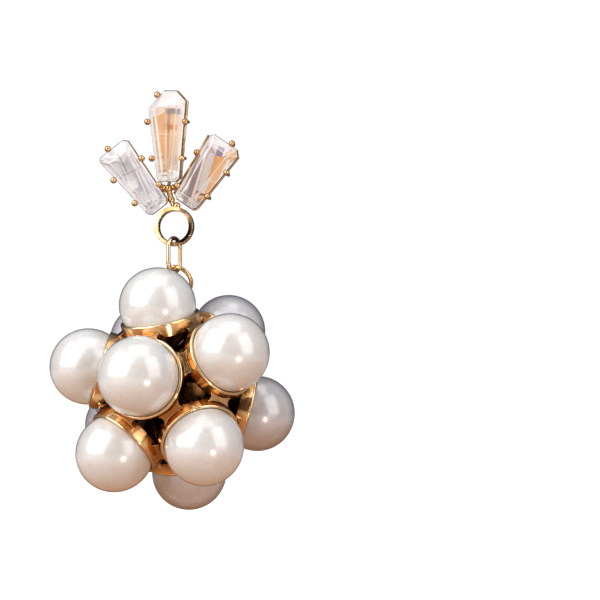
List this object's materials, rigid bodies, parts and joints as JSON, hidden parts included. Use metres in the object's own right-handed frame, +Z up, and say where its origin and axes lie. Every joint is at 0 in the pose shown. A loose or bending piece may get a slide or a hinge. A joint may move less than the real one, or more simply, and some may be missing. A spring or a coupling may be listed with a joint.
{
  "type": "dangle earring",
  "caption": "Pearl cluster dangle earring: tapered crystals in a claw setting with an ear post, a band ring and an oval link that carry a soldered cage of pearls.",
  "frame": {"origin": "centre of the back face of the pad under the ear post, where the earring lies against the ear lobe", "axes": "+Z up as the earring hangs; the crystals face -Y; the ear post points along +Y; +X to the right as seen from the front"},
  "size_m": [0.0258, 0.0248, 0.0446],
  "materials": {
    "setting_gold": "polished yellow gold plating on brass",
    "link_gold": "polished yellow gold plating on brass wire",
    "cage_gold": "polished warm gold plating on brass, darker in its hollows",
    "crystal_left": "clear cut glass crystal with polished facets",
    "crystal_centre": "clear cut glass crystal with polished facets and a peach glow",
    "crystal_right": "clear cut glass crystal with polished facets, lilac and golden inside",
    "pearl": "cream-white satin pearl lustre"
  },
  "bodies": {
    "stud": {"claw_setting": "setting_gold", "crystal_left": "crystal_left", "crystal_centre": "crystal_centre", "crystal_right": "crystal_right"},
    "link": {"oval_link": "link_gold"},
    "drop": {"pearl_cage": "cage_gold", "pearl_01": "pearl", "pearl_02": "pearl", "pearl_03": "pearl", "pearl_04": "pearl", "pearl_05": "pearl", "pearl_06": "pearl", "pearl_07": "pearl", "pearl_08": "pearl", "pearl_09": "pearl", "pearl_10": "pearl", "pearl_11": "pearl", "pearl_12": "pearl"}
  },
  "joints": [
    {"name": "link_swing", "type": "hinge", "parent": "stud", "child": "link", "pos_m": [0.0008, -0.0015, -0.0123], "axis": [0.7986, -0.6018, 0], "range_deg": [-40, 40]},
    {"name": "drop_swing", "type": "hinge", "parent": "link", "child": "drop", "pos_m": [0.0008, -0.0015, -0.01485], "axis": [0.6018, 0.7986, 0], "range_deg": [-40, 40]}
  ]
}
